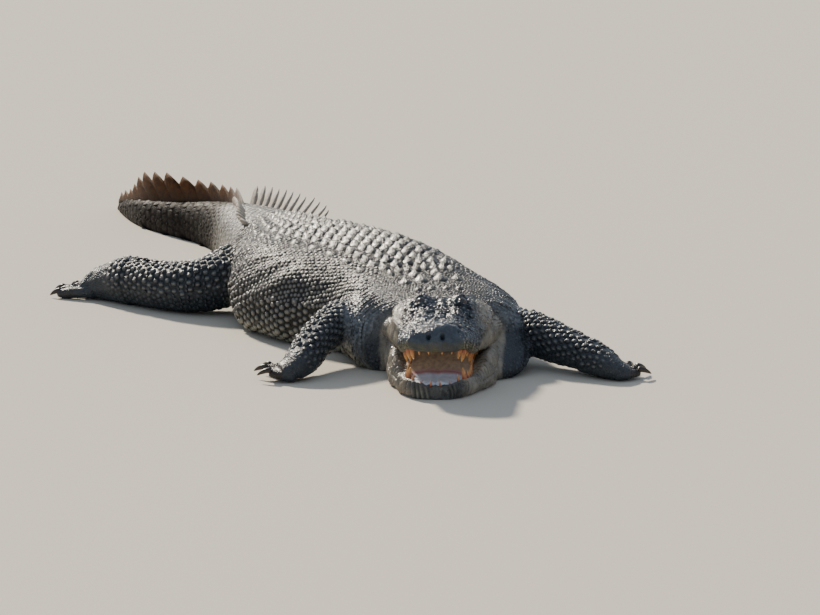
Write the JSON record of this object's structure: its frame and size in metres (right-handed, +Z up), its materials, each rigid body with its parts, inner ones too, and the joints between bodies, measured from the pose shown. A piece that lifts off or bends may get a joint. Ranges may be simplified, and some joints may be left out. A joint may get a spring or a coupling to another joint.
{
  "type": "mugger crocodile",
  "caption": "Life-size still model of an adult crocodile lying on its belly, jaws parted, legs sprawled, body and tail curving to its right.",
  "frame": {"origin": "centre of the bounding box on the floor plane the belly lies on", "axes": "+Z up from the floor; the snout points towards -Y and the body runs back along +Y, the tail swinging towards -X, the animal's right side"},
  "size_m": [2.144, 3.723, 0.352],
  "materials": {
    "hide": "grey-brown horny scales, satin",
    "mouth": "pale moist mouth lining",
    "claw": "dark horn, stands in for keratin",
    "eye": "amber eye, clear and wet"
  },
  "bodies": {
    "root": {"head": "hide", "left_eye": "eye", "left_front_digit_1_claw": "claw", "left_front_digit_2_claw": "claw", "left_front_digit_3_claw": "claw", "left_front_forearm": "hide", "left_front_hand": "hide", "left_front_upper_arm": "hide", "left_hind_digit_1_claw": "claw", "left_hind_digit_2_claw": "claw", "left_hind_digit_3_claw": "claw", "left_hind_foot": "hide", "left_hind_shank": "hide", "left_hind_thigh": "hide", "lower_jaw": "hide", "neck": "hide", "right_eye": "eye", "right_front_digit_1_claw": "claw", "right_front_digit_2_claw": "claw", "right_front_digit_3_claw": "claw", "right_front_forearm": "hide", "right_front_hand": "hide", "right_front_upper_arm": "hide", "right_hind_digit_1_claw": "claw", "right_hind_digit_2_claw": "claw", "right_hind_digit_3_claw": "claw", "right_hind_foot": "hide", "right_hind_shank": "hide", "right_hind_thigh": "hide", "tail_base": "hide", "tail_end": "hide", "tail_middle": "hide", "tongue": "mouth", "trunk": "hide"}
  },
  "joints": []
}
